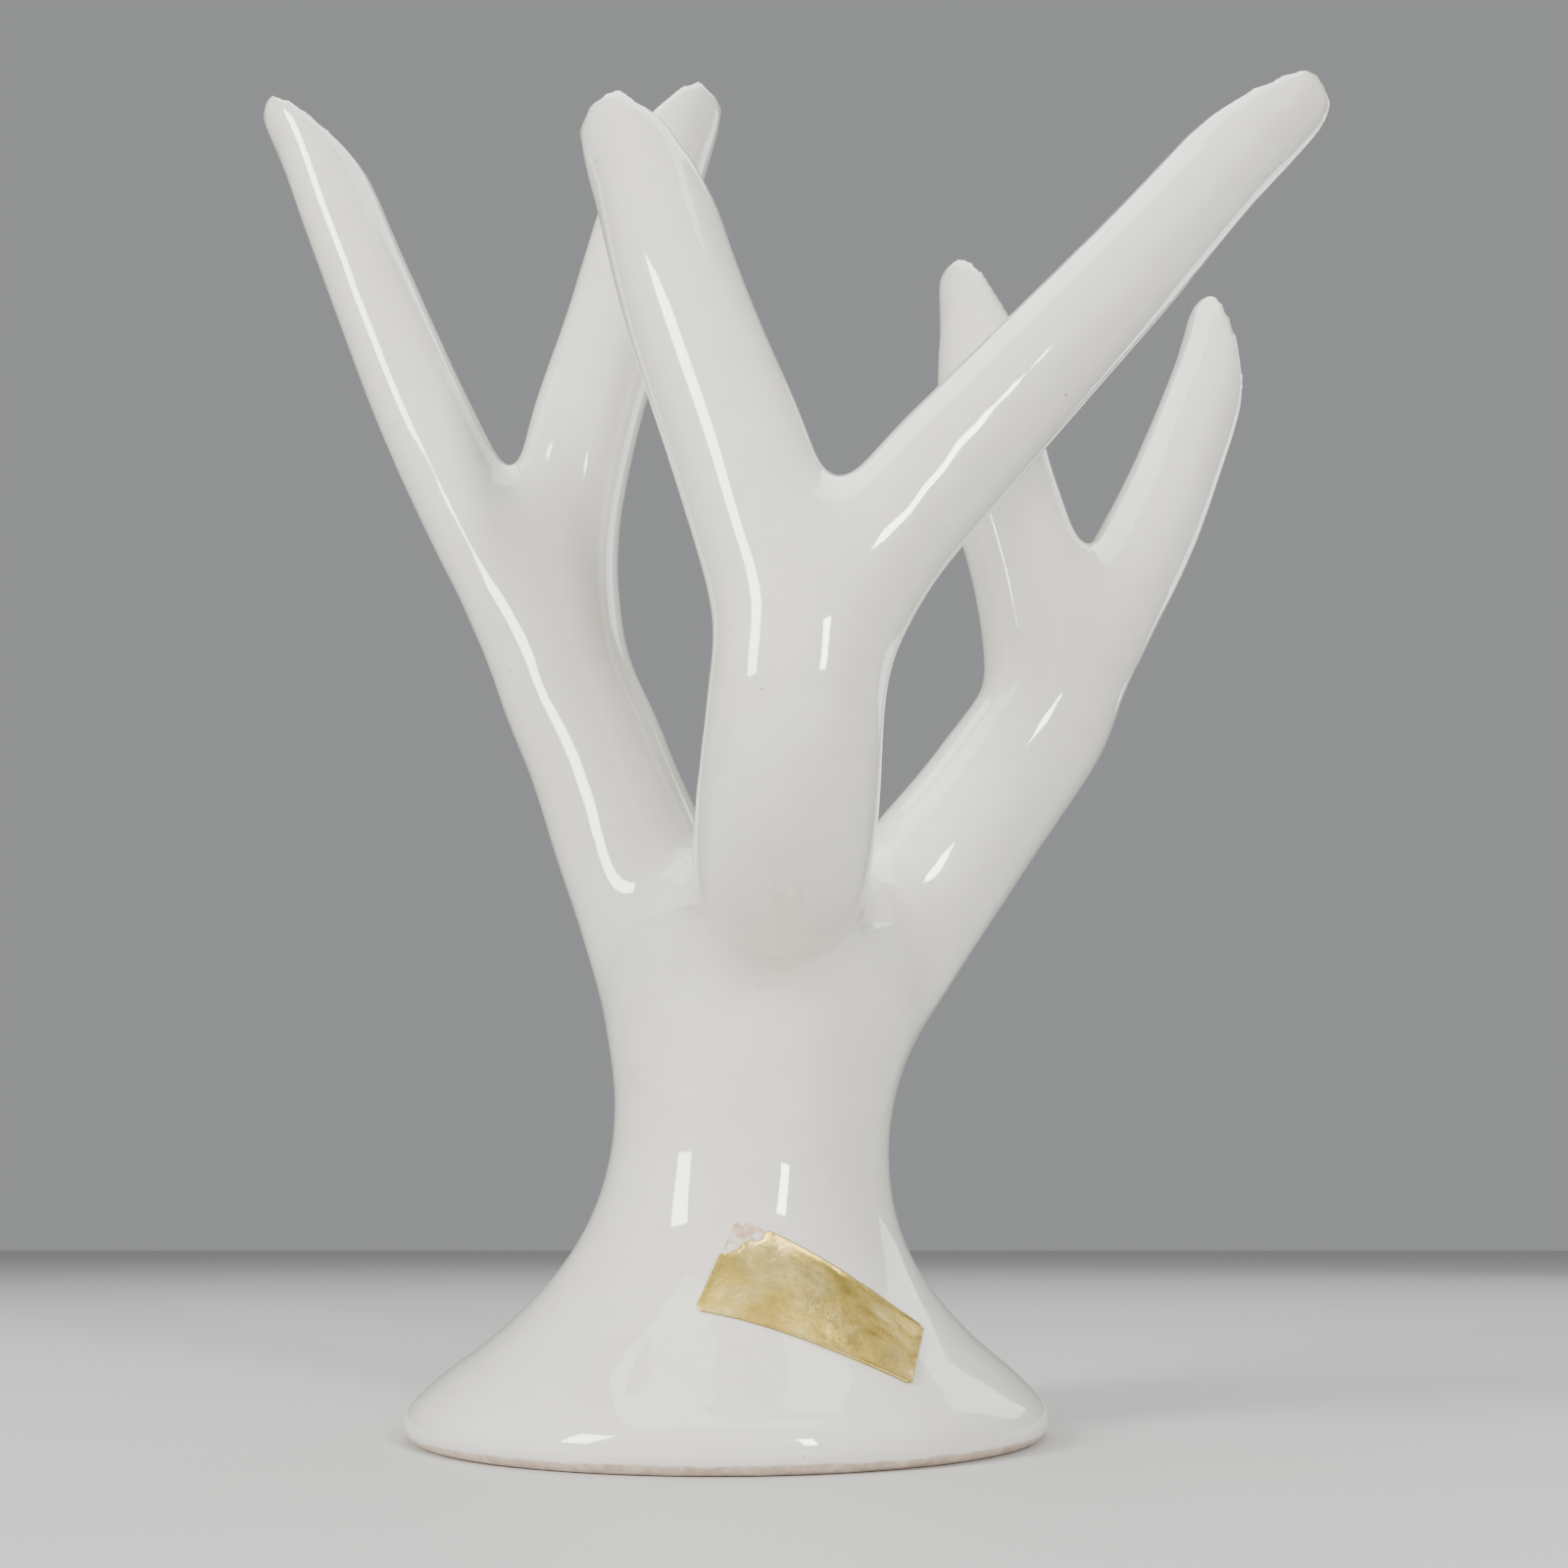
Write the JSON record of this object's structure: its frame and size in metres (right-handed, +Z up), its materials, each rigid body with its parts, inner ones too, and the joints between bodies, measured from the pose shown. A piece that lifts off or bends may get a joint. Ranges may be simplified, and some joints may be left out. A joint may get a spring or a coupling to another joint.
{
  "type": "branch vase",
  "caption": "Glossy white ceramic vase shaped like a forked tree on a bell foot, with slanting open branch tips and a worn foil label.",
  "frame": {"origin": "centre of the flat underside of the foot", "axes": "+Z up, -Y towards the front branch and the label, +X towards the right branch"},
  "size_m": [0.1947, 0.1107, 0.2534],
  "materials": {
    "white_glaze": "high gloss glaze",
    "slip": "matt fired slip",
    "gold_foil": "worn gold foil",
    "paper_residue": "matt torn paper and glue"
  },
  "bodies": {
    "root": {"trunk_casting": "white_glaze", "front_fork": "white_glaze", "left_fork": "white_glaze", "right_fork": "white_glaze", "front_slip_ring": "slip", "left_slip_ring": "slip", "right_slip_ring": "slip", "foil_label": "gold_foil", "label_residue": "paper_residue"}
  },
  "joints": []
}
